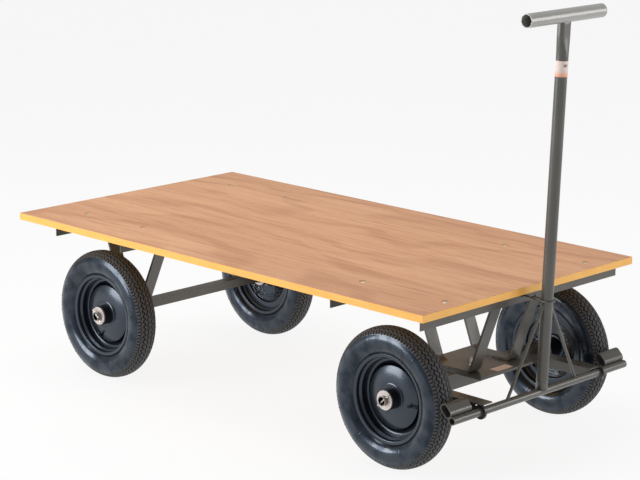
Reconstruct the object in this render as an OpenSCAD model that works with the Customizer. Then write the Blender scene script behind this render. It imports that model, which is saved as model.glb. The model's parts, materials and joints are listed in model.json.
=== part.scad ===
// Flat platform cart: laminated deck, turntable steering, four pneumatic wheels and a
// pull handle that also presses two brake shoes on the front tyres.
// +X points to the handle, +Y to the left of the load, +Z up. Millimetres.

/* [Deck] */
// Length of the deck
deck_l = 1500; // [1100:10:2000]
// Width of the deck
deck_w = 800; // [700:10:1200]
// Thickness of the plywood board
board_t = 18; // [12:1:27]
// Thickness of the laminate sheet on top
laminate_t = 0.8; // [0.6:0.1:2]

/* [Cross beams] */
// Leg of the angle iron
angle_leg = 31; // [28:1:45]
// Thickness of the angle iron
angle_t = 3; // [3:0.5:5]
// Gap from a beam's end to the side of the deck
beam_inset = 27.5; // [15:0.5:80]
// Front beam's web, from the deck's front edge
front_beam_back = 31; // [20:1:60]
// Second beam's web, from the deck's front edge
second_beam_back = 323; // [300:1:420]
// Third beam's web, from the deck's rear edge
third_beam_x = 396; // [360:1:520]
// Rear beam's web, from the deck's rear edge
rear_beam_x = 126; // [80:1:160]

/* [Deck bolts] */
// Diameter of the coach bolts
bolt_d = 8; // [6:1:10]
// Diameter of a bolt's round head
bolt_head_d = 19; // [16:1:24]
// Height of a bolt's round head
bolt_head_h = 3; // [2:0.5:5]
// Width of the recess that a head sits in
recess_d = 23; // [22:1:28]
// Distance of the bolts from the centre line
bolt_y = 270; // [230:5:330]

/* [Struts] */
// Width of the flat bar
strut_w = 38; // [30:1:50]
// Thickness of the flat bar
strut_t = 6; // [5:0.5:8]
// Height of a front strut
strut_h = 210; // [170:5:260]
// Distance of a front strut from the centre line
front_strut_y = 75; // [60:1:90]
// Half of the foot of a front strut, between its bends
front_foot = 58; // [50:1:70]
// Distance of a rear strut from the centre line
rear_strut_y = 200; // [170:1:220]
// Half of the foot of a rear strut, between its bends
rear_foot = 33; // [30:1:50]
// Bend radius at the back of a strut's foot
rear_bend = 30; // [12:1:32]
// Bend radius at the front of a strut's foot
front_bend = 14; // [12:1:32]

/* [Axles] */
// Kingpin, from the deck's front edge
kingpin_back = 177.5; // [170:0.5:230]
// Rear axle, from the deck's rear edge
rear_axle_x = 253; // [220:1:320]
// Side of the front axle beam's square tube
front_beam_side = 40; // [36:1:50]
// Width of the rear axle beam's tube
rear_beam_w = 30; // [28:1:40]
// Height of the rear axle beam's tube
rear_beam_h = 24; // [22:1:36]
// Wall of the axle beams
beam_wall = 2; // [1.5:0.5:4]
// Diameter of the wheel axles
axle_d = 25; // [20:1:28]
// Length of a turntable plate along the deck
plate_l = 204; // [180:2:240]
// Width of a turntable plate
plate_w = 200; // [190:2:240]
// Thickness of a turntable plate
plate_t = 3; // [2.5:0.5:6]
// Diameter of the kingpin
kingpin_d = 20; // [16:1:24]

/* [Wheels] */
// Diameter of the tyres
tyre_d = 354; // [295:1:425]
// Width of the tyres
tyre_w = 75; // [68:1:90]
// Distance between the wheels' middle planes
track = 605; // [590:1:700]
// Radius of the rim's edge
rim_r = 112; // [100:1:118]
// Half width of the rim
rim_half = 25; // [23:0.5:34]
// Thickness of the rim's pressed sheet
rim_t = 2; // [1.5:0.5:3]
// Length of a wheel hub
hub_l = 61; // [56:1:90]
// Outside diameter of a wheel hub
hub_d = 52; // [46:1:60]
// Outside diameter of a roller bearing
bearing_d = 36; // [32:1:42]

/* [Handle] */
// Diameter of the cross tube that the handle turns on
cross_d = 20; // [18:1:27]
// Half length of the cross tube
cross_half = 332; // [320:1:380]
// Cross tube's height below the axle
cross_drop = 5; // [0:1:15]
// Diameter of the handle tube
pole_d = 30; // [26:1:34]
// Height of the grip above the cross tube
grip_rise = 926; // [770:1:1110]
// Forward lean of the upright handle, in degrees
lean = 2.4; // [1.5:0.1:5]
// Diameter of the grip tube
grip_d = 33.7; // [30:0.1:38]
// Half length of the grip tube
grip_half = 140.6; // [100:0.1:200]
// Wall of the tubes
tube_wall = 2; // [1.5:0.5:3]
// Diameter of the brace rods
brace_d = 8; // [6:1:12]
// Distance of a brace's foot from the centre line
brace_y = 135; // [90:1:150]
// Distance from the centre line to a tow arm's outer face
arm_y = 226; // [190:1:232]
// Leg of the tow arms' angle iron
arm_leg = 38; // [34:1:40]
// Thickness of a brake shoe across its flattened tube
shoe_d = 23; // [20:1:26]
// Length of a brake shoe across its flattened tube
shoe_l = 38; // [34:1:44]
// Length of a brake shoe along the cross tube
shoe_w = 75; // [60:1:85]

/* [Fits] */
// Radial clearance of a shaft that turns in a bore
run_gap = 0.05; // [0.03:0.01:0.08]
// Gap between faces that turn past each other
face_gap = 0.3; // [0.3:0.1:1]
// Gap between a brake shoe and its tyre
brake_gap = 0.5; // [0.3:0.1:3]

/* [Hidden] */

$fn = 48;
eps = 0.01;
RIGHT = -1;
LEFT = 1;
paint = [0.40, 0.40, 0.36];
steel = [0.75, 0.75, 0.74];
dark = [0.12, 0.12, 0.13];

// Heights, from the floor up
axle_z = tyre_d / 2;
front_beam_top = axle_z + front_beam_side / 2;
lower_plate_z = front_beam_top;
upper_plate_z = lower_plate_z + plate_t + face_gap;
strut_foot_z = upper_plate_z + plate_t;
flange_under = strut_foot_z + strut_h;
deck_z = flange_under + angle_t;
deck_top = deck_z + board_t + laminate_t;
rear_beam_lift = 3;
rear_beam_top = axle_z + rear_beam_lift + rear_beam_h / 2;

// Handle geometry, measured from the deck's rear edge before the frame is centred
kingpin_x = deck_l - kingpin_back;
shoe_r = shoe_d / 2;
weld_bite = 0.8;
shoe_near = cross_d / 2 + shoe_r - weld_bite;
shoe_far = shoe_near + shoe_l - shoe_d;
cross_past_tyre = 35.1;
pole_past_deck = 19;
cross_ahead = max(tyre_d / 2 + cross_past_tyre, kingpin_back + pole_d / 2 + pole_past_deck);
cross_x = kingpin_x + cross_ahead;
cross_z = axle_z - cross_drop;
grip_x = cross_x + grip_rise * tan(lean);
grip_z = cross_z + grip_rise;
// The shoe leans back from the cross tube until its far end just clears the tyre
centres = norm([cross_ahead, cross_drop]);
reach = tyre_d / 2 + shoe_r + brake_gap;
shoe_cos = (centres * centres + shoe_far * shoe_far - reach * reach) / (2 * centres * shoe_far);
shoe_angle = acos(min(0.98, shoe_cos)) + atan(cross_drop / cross_ahead);

// The origin is under the middle of the whole truck
x_shift = -(grip_x + grip_d / 2) / 2;

// Wheels and stub axles, as distances outboard of a wheel's middle plane
washer_t = 3;
washer_r = 24.5;
axle_shoulder = hub_l / 2 + face_gap + washer_t;
axle_end = hub_l / 2 + 13;
axle_beam_half = track / 2 - hub_l / 2 - 11;
stub_bore = axle_d - 5;
stub_bore_l = 20;
shoulder_d = axle_d + 9;
shank_l = 60;
pin_out = hub_l / 2 + 8.6;
pin_d = 3.6;
front_pin_turn = 45;
rear_pin_turn = 135;

// Each wheel has stopped with its valve at an angle of its own
front_right_valve = -6;
rear_right_valve = 250;
left_valve = 125;

// Deck bolts: each pair stands this far from its beam's web
bolt_pairs = [[deck_l - front_beam_back, -15], [deck_l - second_beam_back, 11],
    [third_beam_x, -23], [rear_beam_x, 13]];
recess_h = bolt_head_h + 0.2;
bolt_washer_t = 1.5;
nut_h = 6.5;
nut_af = 13;

bolt_end = 3;

king_head_h = 12;
king_af = 30;
king_washer_d = 36;
king_washer_t = 1.5;
king_clip_d = 29;
king_clip_t = 1.5;
king_end = 1.5;
king_washer_z = axle_z - front_beam_side / 2 - face_gap - king_washer_t;
king_clip_z = king_washer_z - king_clip_t;

// Handle fittings
loop_wire = 5;
loop_up_web = 17.7;
loop_z = deck_z - angle_leg + loop_up_web;
brace_past_loop = 14;
brace_rise = loop_z - cross_z + brace_past_loop;
loop_back_r = 8.5;
loop_tip = 179.5;
staple_gap = 3;
eye_d = 36;
eye_t = 6;
arm_t = 3;
arm_top = cross_z + cross_d / 2 + 7;
label_t = 0.3;
handle_label_z = 802;
handle_label_h = 38;

// ---- helpers ----

function unit(v) = v / norm(v);

function left_of(v) = [-v[1], v[0]];

// Points of an arc of radius r that rounds the corner a-b-c
function arc_at(a, b, c, r, n) =
    let (u = unit(a - b),
        v = unit(c - b),
        half = acos(u * v) / 2,
        centre = b + unit(u + v) * r / sin(half),
        from = b + u * r / tan(half) - centre,
        start = atan2(from[1], from[0]),
        turn = (180 - 2 * half) * (u[0] * v[1] - u[1] * v[0] > 0 ? -1 : 1))
    [for (k = [0:n]) centre + r * [cos(start + turn * k / n), sin(start + turn * k / n)]];

// A path with every inner corner rounded
function rounded(path, r, n) = concat([path[0]],
    [for (i = [1:len(path) - 2]) each arc_at(path[i - 1], path[i], path[i + 1], r, n)],
    [path[len(path) - 1]]);

// Mitred sideways direction at point i of a path
function side_at(path, i) =
    let (a = unit(i > 0 ? path[i] - path[i - 1] : path[1] - path[0]),
        b = unit(i < len(path) - 1 ? path[i + 1] - path[i] : path[i] - path[i - 1]),
        n = unit(left_of(a) + left_of(b)))
    n / (n * left_of(a));

// Outline of a strip of thickness t whose middle follows a path
function strip(path, t) = concat(
    [for (i = [0:len(path) - 1]) path[i] + side_at(path, i) * t / 2],
    [for (i = [len(path) - 1:-1:0]) path[i] - side_at(path, i) * t / 2]);

// Moves the whole truck so that the origin is under its middle
module truck() {
    translate([x_shift, 0, 0]) children();
}

// Extrudes an outline drawn in X and Z, from y = -w/2 to w/2
module across(w) {
    rotate([90, 0, 0]) linear_extrude(w, center = true) children();
}

// Puts a shape built along +Z on a wheel's axis, with +Z outboard
module at_wheel(x, side) {
    truck() translate([x, side * track / 2, axle_z]) rotate([-90 * side, 0, 0]) children();
}

module tube(d, l, wall) {
    difference() {
        cylinder(d = d, h = l, center = true);
        cylinder(d = d - 2 * wall, h = l + 1, center = true);
    }
}

module hexagon(af, h) {
    cylinder(d = af / cos(30), h = h, $fn = 6);
}

// ---- deck ----

module bolt_places() {
    for (pair = bolt_pairs, side = [RIGHT, LEFT])
        truck() translate([pair[0] + pair[1], side * bolt_y, 0]) children();
}

module deck_board() {
    color([0.95, 0.72, 0.35]) difference() {
        truck() translate([0, -deck_w / 2, deck_z]) cube([deck_l, deck_w, board_t]);
        bolt_places() {
            translate([0, 0, deck_z - 1]) cylinder(d = bolt_d, h = board_t + 2);
            translate([0, 0, deck_top - recess_h]) cylinder(d = recess_d, h = recess_h);
        }
    }
}

module deck_laminate() {
    color([0.82, 0.64, 0.48]) difference() {
        truck() translate([0, -deck_w / 2, deck_z + board_t]) cube([deck_l, deck_w, laminate_t]);
        bolt_places() translate([0, 0, deck_z]) cylinder(d = recess_d, h = board_t + 5);
    }
}

module deck_bolts() {
    seat_z = deck_top - recess_h;
    end_z = flange_under - bolt_washer_t - nut_h - bolt_end;
    color(steel) bolt_places() {
        translate([0, 0, end_z]) cylinder(d = bolt_d, h = seat_z - end_z + eps);
        translate([0, 0, seat_z]) rotate_extrude() polygon(
            [[0, 0], [bolt_head_d / 2, 0], [bolt_head_d / 2 - 0.4, bolt_head_h * 0.35],
            [bolt_head_d * 0.36, bolt_head_h * 0.75], [bolt_head_d * 0.18, bolt_head_h * 0.95],
            [0, bolt_head_h]]);
    }
}

module deck_washers() {
    color(steel) bolt_places() translate([0, 0, flange_under - bolt_washer_t]) difference() {
        cylinder(d = 16, h = bolt_washer_t);
        translate([0, 0, -1]) cylinder(d = bolt_d, h = bolt_washer_t + 2);
    }
}

module deck_nuts() {
    color(steel) bolt_places() translate([0, 0, flange_under - bolt_washer_t - nut_h])
        difference() {
            hexagon(nut_af, nut_h);
            translate([0, 0, -1]) cylinder(d = bolt_d, h = nut_h + 2);
        }
}

// ---- cross beams ----

// An angle iron: its web's front face is at x, and its flange runs to the side given by way
module cross_beam(x, way) {
    half = deck_w / 2 - beam_inset;
    flange_x = way > 0 ? x - angle_t : x - angle_leg;
    color(paint) difference() {
        truck() union() {
            translate([x - angle_t, -half, deck_z - angle_leg])
                cube([angle_t, 2 * half, angle_leg]);
            translate([flange_x, -half, deck_z - angle_t]) cube([angle_leg, 2 * half, angle_t]);
        }
        bolt_places() translate([0, 0, flange_under - 1]) cylinder(d = bolt_d, h = angle_t + 2);
    }
}

module beam_front() {
    cross_beam(deck_l - front_beam_back, -1);
}

module beam_second() {
    cross_beam(deck_l - second_beam_back, 1);
}

module beam_third() {
    cross_beam(third_beam_x, -1);
}

module beam_rear() {
    cross_beam(rear_beam_x, 1);
}

// ---- struts ----

// A flat bar bent to an open hat: its foot stands on z_foot, its ends meet the beams' flanges
module strut(x_back, x_front, foot_x, foot_half, z_foot, y) {
    foot_mid = z_foot + strut_t / 2;
    back_top = [x_back, flange_under + strut_t];
    back_foot = [foot_x - foot_half, foot_mid];
    ahead_foot = [foot_x + foot_half, foot_mid];
    ahead_top = [x_front, flange_under + strut_t];
    path = concat([back_top], arc_at(back_top, back_foot, ahead_foot, rear_bend, 8),
        arc_at(back_foot, ahead_foot, ahead_top, front_bend, 6), [ahead_top]);
    color(paint) truck() translate([0, y, 0]) intersection() {
        across(strut_w) polygon(strip(path, strut_t));
        translate([x_back - 50, -strut_w, z_foot])
            cube([x_front - x_back + 100, 2 * strut_w, flange_under - z_foot]);
    }
}

leg_off = strut_t * 0.6 + 1.5;

module front_strut(side) {
    strut(deck_l - second_beam_back + leg_off, deck_l - front_beam_back - angle_t - leg_off,
        kingpin_x, front_foot, strut_foot_z, side * front_strut_y);
}

module rear_strut(side) {
    strut(rear_beam_x + leg_off, third_beam_x - angle_t - leg_off,
        rear_axle_x, rear_foot, rear_beam_top, side * rear_strut_y);
}

// ---- turntable ----

module plate(z, bore) {
    truck() translate([kingpin_x, 0, z]) difference() {
        translate([-plate_l / 2, -plate_w / 2, 0]) cube([plate_l, plate_w, plate_t]);
        translate([0, 0, -1]) cylinder(r = bore, h = plate_t + 2);
    }
}

module turntable_plate_upper() {
    color(paint) plate(upper_plate_z, kingpin_d / 2);
}

module turntable_plate_lower() {
    color(paint) plate(lower_plate_z, kingpin_d / 2 + run_gap);
}

module king_bolt() {
    end_z = king_clip_z - king_end;
    color(steel) truck() translate([kingpin_x, 0, 0]) {
        translate([0, 0, strut_foot_z]) hexagon(king_af, king_head_h);
        translate([0, 0, end_z]) cylinder(d = kingpin_d, h = strut_foot_z - end_z + eps);
    }
}

// A flat ring around the kingpin
module king_ring(z, d, t) {
    color(steel) truck() translate([kingpin_x, 0, z]) difference() {
        cylinder(d = d, h = t);
        translate([0, 0, -1]) cylinder(d = kingpin_d, h = t + 2);
    }
}

module king_washer() {
    king_ring(king_washer_z, king_washer_d, king_washer_t);
}

module king_clip() {
    king_ring(king_clip_z, king_clip_d, king_clip_t);
}

module plate_label() {
    color("white") truck() translate([kingpin_x + plate_l / 2 - 33, -28, strut_foot_z])
        cube([26, 60, label_t]);
}

// A short bent lug under the front beam, which the loop of a fixed handle hangs behind
module keeper_staple() {
    web = deck_l - front_beam_back;
    tip = kingpin_x + loop_tip - loop_back_r - staple_gap;
    color(paint) truck() translate([web, 0, loop_z]) {
        rotate([0, 90, 0]) cylinder(d = loop_wire, h = tip - web);
        rotate([0, 90, 0]) cylinder(d = loop_wire + 5, h = 3);
    }
}

// ---- axle beams and stub axles ----

// A rectangular tube across the truck, with its end faces at axle_beam_half
module axle_tube(x, z, w, h) {
    truck() translate([x, 0, z]) difference() {
        cube([w, 2 * axle_beam_half, h], center = true);
        cube([w - 2 * beam_wall, 2 * axle_beam_half + 1, h - 2 * beam_wall], center = true);
    }
}

module front_axle_beam() {
    color(paint) difference() {
        axle_tube(kingpin_x, axle_z, front_beam_side, front_beam_side);
        truck() translate([kingpin_x, 0, axle_z])
            cylinder(r = kingpin_d / 2 + run_gap, h = 2 * front_beam_side, center = true);
    }
}

module rear_axle_beam() {
    color(paint) axle_tube(rear_axle_x, axle_z + rear_beam_lift, rear_beam_w, rear_beam_h);
}

// Shank inside the beam, shoulder against the inner washer, spindle with a drilled end
module stub_axle(x, side, w, h, lift, turn) {
    start = track / 2 - axle_beam_half;
    color(steel) at_wheel(x, side) difference() {
        union() {
            translate([0, -side * lift, -start - shank_l / 2])
                cube([w - 2 * beam_wall, h - 2 * beam_wall, shank_l], center = true);
            translate([0, 0, -start]) cylinder(d = shoulder_d, h = start - axle_shoulder);
            translate([0, 0, -start]) cylinder(d = axle_d, h = start + axle_end);
        }
        translate([0, 0, axle_end - stub_bore_l]) cylinder(d = stub_bore, h = stub_bore_l + 1);
        translate([0, 0, pin_out]) rotate([0, 0, turn]) rotate([0, 90, 0])
            cylinder(d = pin_d, h = axle_d + 20, center = true);
    }
}

module front_stub_axles() {
    for (side = [RIGHT, LEFT])
        stub_axle(kingpin_x, side, front_beam_side, front_beam_side, 0, front_pin_turn);
}

module rear_stub_axles() {
    for (side = [RIGHT, LEFT])
        stub_axle(rear_axle_x, side, rear_beam_w, rear_beam_h, rear_beam_lift, rear_pin_turn);
}

module axle_washers(x) {
    color(steel) for (side = [RIGHT, LEFT], z = [-hub_l / 2 - face_gap - washer_t,
        hub_l / 2 + face_gap]) at_wheel(x, side) translate([0, 0, z]) difference() {
            cylinder(r = washer_r, h = washer_t);
            translate([0, 0, -1]) cylinder(d = axle_d, h = washer_t + 2);
        }
}

// A split pin through the axle: a ring at one end, closed legs at the other
module cotter_pins(x, turn) {
    half = axle_d / 2 + 3;
    legs = axle_d / 2 + 9;
    ring = 3.2;
    color(steel) for (side = [RIGHT, LEFT]) at_wheel(x, side) translate([0, 0, pin_out])
        rotate([0, 0, turn]) rotate([0, 90, 0]) {
            translate([0, 0, -legs]) cylinder(d = pin_d, h = legs + half);
            translate([0, 0, half + ring - 1]) rotate([0, 90, 0]) rotate_extrude()
                translate([ring, 0]) circle(d = 2, $fn = 16);
        }
}

// ---- tow arms ----

module tow_arm(side) {
    start = kingpin_x + front_beam_side / 2;
    web_end = cross_x - eye_d / 2 - 2;
    outer = side * arm_y;
    inner = side * (arm_y - arm_leg);
    web_in = side * (arm_y - arm_t);
    color(paint) truck() {
        translate([start, min(outer, inner), arm_top - arm_t])
            cube([cross_x + 2 - start, arm_leg, arm_t]);
        translate([start, min(outer, web_in), arm_top - arm_leg])
            cube([web_end - start, arm_t, arm_leg - arm_t + eps]);
    }
}

module pivot_eyes() {
    color(dark) truck() for (side = [RIGHT, LEFT])
        translate([cross_x, side * (arm_y + eye_t / 2), cross_z]) difference() {
            union() {
                rotate([90, 0, 0]) cylinder(d = eye_d, h = eye_t, center = true);
                translate([-eye_d * 0.7, 0, 0])
                    cube([eye_d * 1.4, eye_t, eye_d * 0.6], center = true);
            }
            rotate([90, 0, 0]) cylinder(r = cross_d / 2 + run_gap, h = eye_t + 2, center = true);
        }
}

// ---- handle ----

module handle_frame() {
    truck() translate([cross_x, 0, cross_z]) children();
}

module cross_bar(d) {
    rotate([90, 0, 0]) cylinder(d = d, h = 2 * cross_half + 2, center = true);
}

module pole(d, from, to) {
    rotate([0, lean, 0]) translate([0, 0, from]) cylinder(d = d, h = to - from);
}

module cross_tube() {
    color(paint) handle_frame() rotate([90, 0, 0]) tube(cross_d, 2 * cross_half, tube_wall);
}

module handle_tube() {
    top = grip_rise / cos(lean);
    color(paint) handle_frame() difference() {
        pole(pole_d, cross_d * 0.35, top);
        pole(pole_d - 2 * tube_wall, -20, top + 5);
        cross_bar(cross_d);
        translate([grip_rise * tan(lean), 0, grip_rise]) cross_bar(grip_d);
    }
}

module grip_tube() {
    color([0.55, 0.55, 0.52]) handle_frame() translate([grip_rise * tan(lean), 0, grip_rise])
        rotate([90, 0, 0]) tube(grip_d, 2 * grip_half, tube_wall);
}

module brace_rods() {
    // The rods' axes meet inside the handle tube, which cuts both of them off
    top = [brace_rise * tan(lean), 0, brace_rise];
    color(paint) handle_frame() for (side = [RIGHT, LEFT]) {
        foot = [0, side * brace_y, 0];
        run = top - foot;
        difference() {
            translate(foot) rotate([0, acos(run[2] / norm(run)), atan2(run[1], run[0])])
                cylinder(d = brace_d, h = norm(run));
            cross_bar(cross_d);
            pole(pole_d, 0, brace_rise + 100);
        }
    }
}

// Flattened tube: two arcs joined by flat sides, along the line from the cross tube
module shoe_outline(d) {
    translate([-shoe_near, 0]) circle(d = d);
    translate([-shoe_far, 0]) circle(d = d);
    translate([-shoe_far, -d / 2]) square([shoe_far - shoe_near, d]);
}

module brake_shoe(side) {
    color(paint) handle_frame() difference() {
        translate([0, side * (cross_half - shoe_w / 2), 0]) rotate([90, 0, 0])
            rotate([0, 0, -shoe_angle]) linear_extrude(shoe_w, center = true) difference() {
                shoe_outline(shoe_d);
                shoe_outline(shoe_d - 2 * tube_wall);
            }
        cross_bar(cross_d);
    }
}

// A drawn-out ring of bar around the handle tube, narrow at its back end
module keeper_loop() {
    tube_x = cross_x + (loop_z - cross_z) * tan(lean);
    back_x = kingpin_x + loop_tip;
    wide = pole_d / 2 + loop_wire / 2;
    color(paint) truck() difference() {
        union() {
            translate([0, 0, loop_z - loop_wire / 2]) linear_extrude(loop_wire) difference() {
                hull() {
                    translate([back_x, 0]) circle(r = loop_back_r, $fn = 32);
                    translate([tube_x, 0]) circle(r = wide + loop_wire / 2, $fn = 48);
                }
                hull() {
                    translate([back_x, 0]) circle(r = loop_back_r - loop_wire, $fn = 32);
                    translate([tube_x, 0]) circle(r = wide - loop_wire / 2, $fn = 48);
                }
            }
            translate([back_x, 6, loop_z]) cylinder(d = loop_wire, h = 8);
        }
        translate([cross_x, 0, cross_z]) pole(pole_d, 0, 2 * brace_rise);
    }
}

module handle_label() {
    color("white") handle_frame() difference() {
        pole(pole_d + 2 * label_t, handle_label_z - handle_label_h / 2,
            handle_label_z + handle_label_h / 2);
        pole(pole_d, 0, grip_rise);
    }
}

// ---- wheels ----

bead_r = rim_r - 7;
lip_clear = rim_r + 0.2;
tyre_wall = 7;
tyre_mid = (tyre_d / 2 + bead_r) / 2;
tyre_rise = tyre_d / 2 - tyre_mid;
// Below 1, these powers square the tyre's section off a little
crown_power = 0.92;
wall_power = 0.90;
bead_gap = 24;

// Flattened ring of points around the tyre's section, inset evenly
function tyre_ring(inset) = [for (a = [0:7.5:352.5])
    [tyre_mid + (tyre_rise - inset) * sign(sin(a)) * pow(abs(sin(a)), crown_power),
    (tyre_w / 2 - inset) * sign(cos(a)) * pow(abs(cos(a)), wall_power)]];

module tyre(x, side) {
    lip = rim_half - rim_t - 2;
    color(dark) at_wheel(x, side) rotate_extrude($fn = 96) difference() {
        polygon(tyre_ring(0));
        polygon(tyre_ring(tyre_wall));
        translate([0, -lip]) square([bead_r, 2 * lip]);
        translate([0, -tyre_w]) square([lip_clear, tyre_w - lip]);
        translate([0, lip]) square([lip_clear, tyre_w]);
        translate([0, -bead_gap / 2]) square([tyre_mid, bead_gap]);
    }
}

// Half of a pressed rim is a barrel with rolled edges; the disc carries it on the hub
module rim(x, side, turn) {
    seat = rim_r - 8;
    well = seat - 6;
    lip = rim_half - rim_t / 2;
    barrel = [[rim_r, lip], [seat, lip - 1], [seat, 13], [well, 9], [well, -9],
        [seat, -13], [seat, 1 - lip], [rim_r, -lip]];
    dome = rim_r - 34;
    disc = [[hub_d / 2, 9], [hub_d / 2 + 9, 9], [dome - 6, 3], [dome, -1], [dome + 5, -6],
        [well - rim_t / 2, -6]];
    color(dark) at_wheel(x, side) difference() {
        rotate_extrude($fn = 96) {
            polygon(strip(rounded(barrel, 1.9, 3), rim_t));
            polygon(strip(rounded(disc, 4, 4), rim_t));
        }
        valve_place(turn) cylinder(d = valve_d, h = 3 * valve_foot, center = true);
    }
}

module hub(x, side) {
    color(dark) at_wheel(x, side) difference() {
        cylinder(d = hub_d, h = hub_l, center = true);
        cylinder(d = bearing_d, h = hub_l + 1, center = true);
    }
}

module bearings(x, side) {
    cage_l = 20;
    color(steel) at_wheel(x, side) for (end = [-1, 1])
        translate([0, 0, end * (hub_l - cage_l) / 2]) difference() {
            cylinder(d = bearing_d, h = cage_l, center = true);
            cylinder(d = axle_d + 2 * run_gap, h = cage_l + 1, center = true);
        }
}

valve_d = 9;
valve_foot = 8;
valve_lean = 45;

// Where the valve passes through the disc, with +Z along its stem, which leans to the hub
module valve_place(turn) {
    rotate([0, 0, turn]) translate([rim_r - 36, 0, 0]) rotate([0, -valve_lean, 0]) children();
}

module valve(x, side, turn) {
    color(dark) at_wheel(x, side) valve_place(turn) {
        translate([0, 0, -valve_foot]) cylinder(d = valve_d, h = 2 * valve_foot);
        cylinder(d = 6.5, h = 25);
    }
}

deck_board();
deck_laminate();
deck_bolts();
deck_washers();
deck_nuts();
beam_front();
beam_second();
beam_third();
beam_rear();
front_strut(RIGHT);  // front_strut_right
front_strut(LEFT);  // front_strut_left
rear_strut(RIGHT);  // rear_strut_right
rear_strut(LEFT);  // rear_strut_left
turntable_plate_upper();
king_bolt();
king_washer();
king_clip();
plate_label();
keeper_staple();
rear_axle_beam();
rear_stub_axles();
axle_washers(rear_axle_x);  // rear_washers
cotter_pins(rear_axle_x, rear_pin_turn);  // rear_cotter_pins
turntable_plate_lower();
front_axle_beam();
tow_arm(RIGHT);  // tow_arm_right
tow_arm(LEFT);  // tow_arm_left
pivot_eyes();
front_stub_axles();
axle_washers(kingpin_x);  // front_washers
cotter_pins(kingpin_x, front_pin_turn);  // front_cotter_pins
cross_tube();
handle_tube();
grip_tube();
brace_rods();
brake_shoe(RIGHT);  // brake_shoe_right
brake_shoe(LEFT);  // brake_shoe_left
keeper_loop();
handle_label();
tyre(kingpin_x, RIGHT);  // tyre_front_right
rim(kingpin_x, RIGHT, front_right_valve);  // rim_front_right
hub(kingpin_x, RIGHT);  // hub_front_right
bearings(kingpin_x, RIGHT);  // bearings_front_right
valve(kingpin_x, RIGHT, front_right_valve);  // valve_front_right
tyre(kingpin_x, LEFT);  // tyre_front_left
rim(kingpin_x, LEFT, left_valve);  // rim_front_left
hub(kingpin_x, LEFT);  // hub_front_left
bearings(kingpin_x, LEFT);  // bearings_front_left
valve(kingpin_x, LEFT, left_valve);  // valve_front_left
tyre(rear_axle_x, RIGHT);  // tyre_rear_right
rim(rear_axle_x, RIGHT, rear_right_valve);  // rim_rear_right
hub(rear_axle_x, RIGHT);  // hub_rear_right
bearings(rear_axle_x, RIGHT);  // bearings_rear_right
valve(rear_axle_x, RIGHT, rear_right_valve);  // valve_rear_right
tyre(rear_axle_x, LEFT);  // tyre_rear_left
rim(rear_axle_x, LEFT, left_valve);  // rim_rear_left
hub(rear_axle_x, LEFT);  // hub_rear_left
bearings(rear_axle_x, LEFT);  // bearings_rear_left
valve(rear_axle_x, LEFT, left_valve);  // valve_rear_left
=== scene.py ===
import json
import math

import bmesh
import bpy
import numpy as np
from mathutils import Matrix, Vector


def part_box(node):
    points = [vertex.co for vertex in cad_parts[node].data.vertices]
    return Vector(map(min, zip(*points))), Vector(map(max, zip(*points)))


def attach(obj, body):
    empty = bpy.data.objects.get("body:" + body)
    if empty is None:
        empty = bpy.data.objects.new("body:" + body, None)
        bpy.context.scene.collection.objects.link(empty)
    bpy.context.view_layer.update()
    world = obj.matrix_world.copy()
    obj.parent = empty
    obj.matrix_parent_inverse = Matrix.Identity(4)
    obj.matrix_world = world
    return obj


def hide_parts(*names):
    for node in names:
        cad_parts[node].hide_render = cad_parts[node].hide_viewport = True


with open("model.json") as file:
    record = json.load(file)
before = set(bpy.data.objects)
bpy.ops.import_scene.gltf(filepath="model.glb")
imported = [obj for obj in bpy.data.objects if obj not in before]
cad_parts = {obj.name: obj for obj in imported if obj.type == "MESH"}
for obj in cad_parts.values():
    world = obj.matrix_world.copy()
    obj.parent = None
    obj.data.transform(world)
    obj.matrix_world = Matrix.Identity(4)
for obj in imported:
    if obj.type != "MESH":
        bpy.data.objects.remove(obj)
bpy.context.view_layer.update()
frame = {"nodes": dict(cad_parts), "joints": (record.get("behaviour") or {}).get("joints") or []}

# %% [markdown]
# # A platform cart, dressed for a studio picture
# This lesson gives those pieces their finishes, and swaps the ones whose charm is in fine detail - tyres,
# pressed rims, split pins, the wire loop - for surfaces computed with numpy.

TURN = 2 * math.pi
hinges = {joint["name"]: Vector(joint["pos_m"]) for joint in frame["joints"]}
kingpin = hinges["steer"]
cross_axis = hinges["handle_tilt"]
WHEELS = {
    "front_right": ("wheel_front_right", -1),
    "front_left": ("wheel_front_left", 1),
    "rear_right": ("wheel_rear_right", -1),
    "rear_left": ("wheel_rear_left", 1),
}
wheel_centres = {corner: hinges[corner + "_wheel_spin"] for corner in WHEELS}
print("kingpin", tuple(kingpin), "cross tube", tuple(cross_axis))

# %% [markdown]
# ## Building blocks
# Every new piece is a grid of points: rows and columns of a surface that is bent in space by a formula.
# One function turns such a grid into a mesh. It needs only the index pattern of the quads, so the shape
# functions further down can stay pure arithmetic on whole arrays.

# %% A grid of points becomes a mesh
def quads(rows, cols, wrap_rows, wrap_cols, first=0):
    """Corner numbers of the quads between neighbours of a rows x cols grid."""
    i = np.arange(rows if wrap_rows else rows - 1)
    j = np.arange(cols if wrap_cols else cols - 1)
    i, j = (a.ravel() for a in np.meshgrid(i, j, indexing="ij"))
    i2, j2 = (i + 1) % rows, (j + 1) % cols
    return first + np.stack([i * cols + j, i2 * cols + j, i2 * cols + j2, i * cols + j2], 1)


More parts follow.
